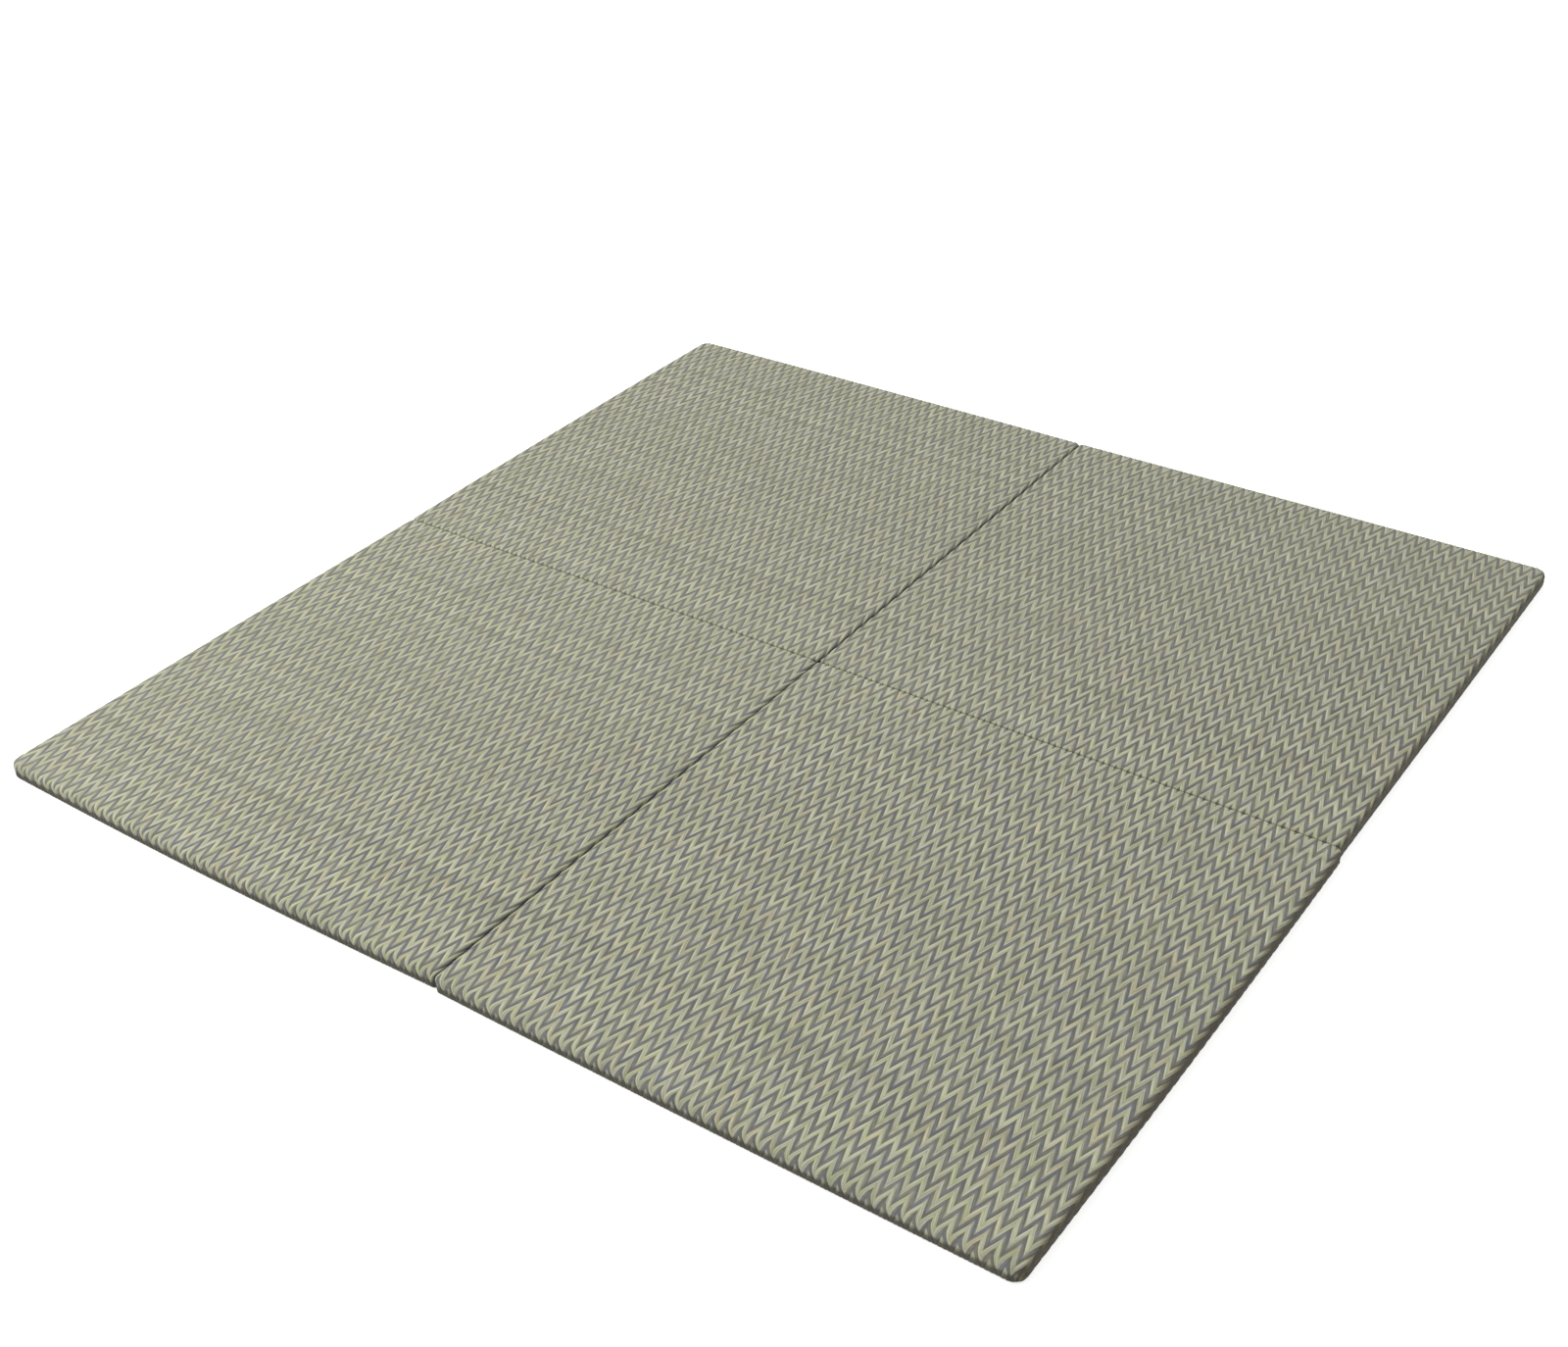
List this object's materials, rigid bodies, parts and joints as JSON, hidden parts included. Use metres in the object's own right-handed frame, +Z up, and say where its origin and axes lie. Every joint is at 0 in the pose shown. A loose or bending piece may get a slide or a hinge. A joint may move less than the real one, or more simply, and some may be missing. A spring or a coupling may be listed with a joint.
{
  "type": "tatami mat",
  "caption": "Square floor mat of thin square panels laid edge to edge, each wrapped in a two-tone zigzag woven cover.",
  "frame": {"origin": "on the floor, under the middle of the whole mat", "axes": "+Z up through the thickness; +X along the zigzag stripes, from the back panel to the right panel; +Y from the front panel to the right panel"},
  "size_m": [1.6468, 1.6468, 0.025],
  "materials": {
    "woven_cover": "matte woven straw and blue-grey zigzag"
  },
  "bodies": {
    "root": {"panel_back": "woven_cover", "panel_right": "woven_cover", "panel_front": "woven_cover", "panel_left": "woven_cover"}
  },
  "joints": []
}
